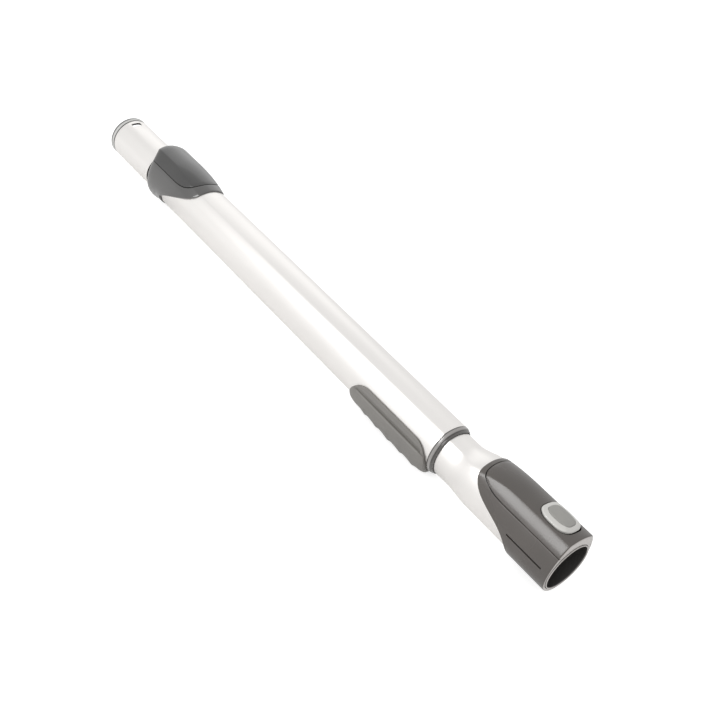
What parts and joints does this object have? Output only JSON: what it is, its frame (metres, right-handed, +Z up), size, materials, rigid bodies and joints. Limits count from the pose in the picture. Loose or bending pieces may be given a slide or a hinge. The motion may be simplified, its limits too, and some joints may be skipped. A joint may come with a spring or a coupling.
{
  "type": "vacuum extension wand",
  "caption": "Telescopic steel wand for a vacuum cleaner, pushed together, with a round nozzle spigot, a sliding release grip and a hose socket with a push-button latch.",
  "frame": {"origin": "centre of the nozzle end on the tube axis", "axes": "+X runs along the tube from the nozzle end to the hose mouth, +Z points up through the hose button, the wand lies along X on its nozzle cover and grip"},
  "size_m": [0.5528, 0.0406, 0.0534],
  "materials": {
    "tube_steel": "satin",
    "cover_plastic": "satin",
    "collar_plastic": "matte",
    "grip_plastic": "satin",
    "ring_plastic": "satin",
    "button_plastic": "gloss",
    "pad_plastic": "matte",
    "inner_plastic": "matte",
    "seal_rubber": "matte",
    "small_steel": "satin"
  },
  "bodies": {
    "outer": {"spigot_end_ring": "ring_plastic", "spigot_tube": "tube_steel", "spigot_adapter": "inner_plastic", "outer_tube": "tube_steel", "nozzle_cover_shell": "cover_plastic", "nozzle_cover_panel": "cover_plastic", "nozzle_cover_screw": "small_steel", "collar_bush": "collar_plastic", "collar_seal": "seal_rubber", "lock_base": "inner_plastic", "grip_spring": "small_steel"},
    "grip": {"release_grip": "grip_plastic"},
    "tooth": {"lock_tooth": "small_steel"},
    "inner": {"inner_tube": "tube_steel", "guide_bush": "inner_plastic", "guide_seal": "seal_rubber", "socket_stop": "seal_rubber", "socket_sleeve": "inner_plastic", "handle_shell": "cover_plastic", "handle_panel": "cover_plastic", "handle_screw": "small_steel", "latch_pin": "small_steel", "latch_spring": "small_steel"},
    "button": {"button_frame": "button_plastic", "button_pad": "pad_plastic", "latch_lever": "inner_plastic"}
  },
  "joints": [
    {"name": "telescope", "type": "slide", "parent": "outer", "child": "inner", "axis": [1, 0, 0], "range_m": [0, 0.288]},
    {"name": "grip_slide", "type": "slide", "parent": "outer", "child": "grip", "axis": [-1, 0, 0], "range_m": [0, 0.006], "stiffness_N_per_m": 500, "springref_m": -0.004, "deforming": ["grip_spring"]},
    {"name": "tooth_drop", "type": "slide", "parent": "outer", "child": "tooth", "axis": [0, 0, -1], "range_m": [0, 0.0013]},
    {"name": "button_press", "type": "hinge", "parent": "inner", "child": "button", "pos_m": [0.523, 0, 0.0212], "axis": [0, 1, 0], "range_deg": [0, 7.5], "stiffness_Nm_per_rad": 0.5, "springref_deg": -3.44, "deforming": ["latch_spring"]}
  ],
  "couplings": [
    {"joint": "tooth_drop", "follows": "grip_slide", "ratio": 0.2166}
  ]
}
